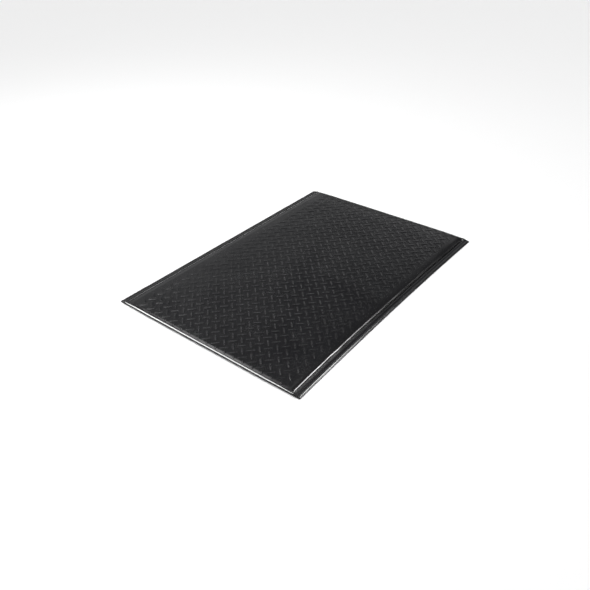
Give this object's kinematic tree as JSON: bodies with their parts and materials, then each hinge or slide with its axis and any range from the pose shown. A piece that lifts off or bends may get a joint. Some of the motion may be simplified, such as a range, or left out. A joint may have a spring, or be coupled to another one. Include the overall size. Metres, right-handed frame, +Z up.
{
  "type": "anti fatigue mat",
  "caption": "Rectangular cushioned standing mat with a raised diamond tread, sealed bead flanges along its long sides and rounded wrapped ends.",
  "frame": {"origin": "middle of the underside, on the floor", "axes": "+X along the length, +Y across the width, +Z up"},
  "size_m": [0.9144, 0.6096, 0.0127],
  "materials": {
    "tread_vinyl": "satin, fine leather-like grain",
    "edge_vinyl": "smooth and glossy where heat sealed",
    "backing_vinyl": "matte, fine anti-slip ribs",
    "soft_foam": "matte open sponge",
    "firm_foam": "matte dense sponge"
  },
  "bodies": {
    "root": {"wear_sheet": "tread_vinyl", "comfort_foam": "soft_foam", "support_foam": "firm_foam", "backing_sheet": "backing_vinyl", "front_flange": "edge_vinyl", "back_flange": "edge_vinyl", "front_shoulder": "edge_vinyl", "back_shoulder": "edge_vinyl", "left_end_wrap": "edge_vinyl", "right_end_wrap": "edge_vinyl", "corner_tuck_front_left": "edge_vinyl", "corner_tuck_front_right": "edge_vinyl", "corner_tuck_back_left": "edge_vinyl", "corner_tuck_back_right": "edge_vinyl"}
  },
  "joints": []
}
